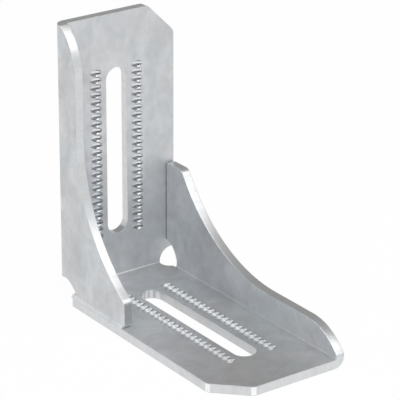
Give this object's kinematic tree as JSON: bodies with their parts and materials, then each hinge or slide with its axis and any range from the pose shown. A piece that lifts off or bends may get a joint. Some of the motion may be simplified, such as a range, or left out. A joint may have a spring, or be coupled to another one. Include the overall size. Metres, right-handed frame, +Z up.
{
  "type": "strut angle fitting",
  "caption": "Folded galvanised steel angle fitting with a gusset flange on each side, a long slot in each leg and rows of serrations beside the slots.",
  "frame": {"origin": "middle of the fitting's footprint at the level of the base's underside", "axes": "+Z up along the upright, +Y towards the back face of the upright, +X to the right seen from the front; -Y points to the tip of the base"},
  "size_m": [0.0714, 0.15, 0.15],
  "materials": {
    "galvanised_steel": "hot-dip galvanised, matt mottled grey"
  },
  "bodies": {
    "root": {"angle_fitting": "galvanised_steel"}
  },
  "joints": []
}
